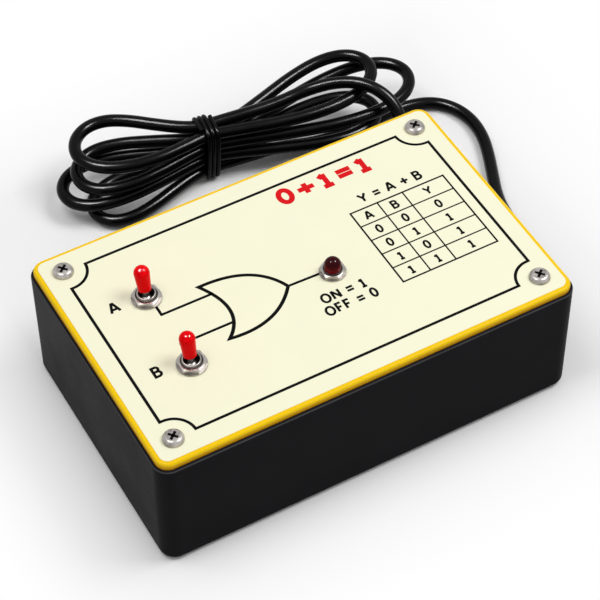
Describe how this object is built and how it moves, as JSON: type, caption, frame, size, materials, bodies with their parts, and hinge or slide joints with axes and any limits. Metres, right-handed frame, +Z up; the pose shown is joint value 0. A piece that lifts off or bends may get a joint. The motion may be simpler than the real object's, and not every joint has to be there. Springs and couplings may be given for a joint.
{
  "type": "logic gate trainer",
  "caption": "Screwed bench box with a printed logic panel, toggle switch inputs, an output lamp and a tied mains lead.",
  "frame": {"origin": "middle of the box's footprint, on the surface it stands on", "axes": "+X along the box's length to the right of its panel, +Y to its rear, +Z up"},
  "size_m": [0.1908, 0.1722, 0.0618],
  "materials": {
    "case_plastic": "satin moulded",
    "cover_plastic": "satin",
    "label_print": "printed sheet",
    "nickel_plate": "bright plated",
    "steel": "plain",
    "sleeve_plastic": "gloss",
    "lamp_epoxy": "clear tinted",
    "black_plastic": "moulded",
    "switch_plastic": "moulded",
    "board_laminate": "lacquered",
    "capacitor_sleeve": "shrunk sleeve",
    "resistor_lacquer": "lacquered",
    "core_iron": "varnished",
    "winding_tape": "taped",
    "wire_insulation": "extruded",
    "cord_sheath": "satin extruded",
    "pin_brass": "plated"
  },
  "bodies": {
    "case": {"base_box": "case_plastic", "top_cover": "cover_plastic", "face_label": "label_print", "cover_screws": "nickel_plate", "lamp_washer": "nickel_plate", "lamp_bezel": "nickel_plate", "lamp_nut": "nickel_plate", "lamp_led": "lamp_epoxy", "lamp_collar": "black_plastic", "lamp_leads": "steel", "lamp_wires": "wire_insulation", "circuit_board": "board_laminate", "board_screws": "nickel_plate", "chip_socket": "black_plastic", "logic_chip": "black_plastic", "regulator": "black_plastic", "filter_capacitor": "capacitor_sleeve", "rectifier_diodes": "black_plastic", "resistors": "resistor_lacquer", "transformer_core": "core_iron", "transformer_winding": "winding_tape", "transformer_frame": "steel", "transformer_screws": "nickel_plate", "supply_wires": "wire_insulation", "mains_wires": "wire_insulation", "cord_grommet": "cord_sheath", "cord_lead": "cord_sheath", "cord_hank": "cord_sheath", "cord_tail": "cord_sheath", "cord_tie": "cord_sheath", "plug_body": "cord_sheath", "plug_pins": "pin_brass", "switch_a_washer": "nickel_plate", "switch_a_panel_nut": "nickel_plate", "switch_a_back_nut": "nickel_plate", "switch_a_bush": "nickel_plate", "switch_a_frame": "steel", "switch_a_body": "switch_plastic", "switch_a_terminals": "steel", "switch_a_pivot_pin": "steel", "switch_a_wires": "wire_insulation", "switch_b_washer": "nickel_plate", "switch_b_panel_nut": "nickel_plate", "switch_b_back_nut": "nickel_plate", "switch_b_bush": "nickel_plate", "switch_b_frame": "steel", "switch_b_body": "switch_plastic", "switch_b_terminals": "steel", "switch_b_pivot_pin": "steel", "switch_b_wires": "wire_insulation"},
    "lever_a": {"switch_a_lever": "steel", "switch_a_sleeve": "sleeve_plastic"},
    "rocker_a": {"switch_a_rocker": "pin_brass"},
    "lever_b": {"switch_b_lever": "steel", "switch_b_sleeve": "sleeve_plastic"},
    "rocker_b": {"switch_b_rocker": "pin_brass"}
  },
  "joints": [
    {"name": "switch_a_tilt", "type": "hinge", "parent": "case", "child": "lever_a", "pos_m": [-0.048, 0.0157, 0.0482], "axis": [1, 0, 0], "range_deg": [0, 24]},
    {"name": "rocker_a_tip", "type": "hinge", "parent": "case", "child": "rocker_a", "pos_m": [-0.048, 0.0157, 0.0387], "axis": [1, 0, 0], "range_deg": [-20, 0]},
    {"name": "switch_b_tilt", "type": "hinge", "parent": "case", "child": "lever_b", "pos_m": [-0.048, -0.0157, 0.0482], "axis": [1, 0, 0], "range_deg": [0, 24]},
    {"name": "rocker_b_tip", "type": "hinge", "parent": "case", "child": "rocker_b", "pos_m": [-0.048, -0.0157, 0.0387], "axis": [1, 0, 0], "range_deg": [-20, 0]}
  ],
  "couplings": [
    {"joint": "rocker_a_tip", "follows": "switch_a_tilt", "ratio": -0.83333},
    {"joint": "rocker_b_tip", "follows": "switch_b_tilt", "ratio": -0.83333}
  ]
}
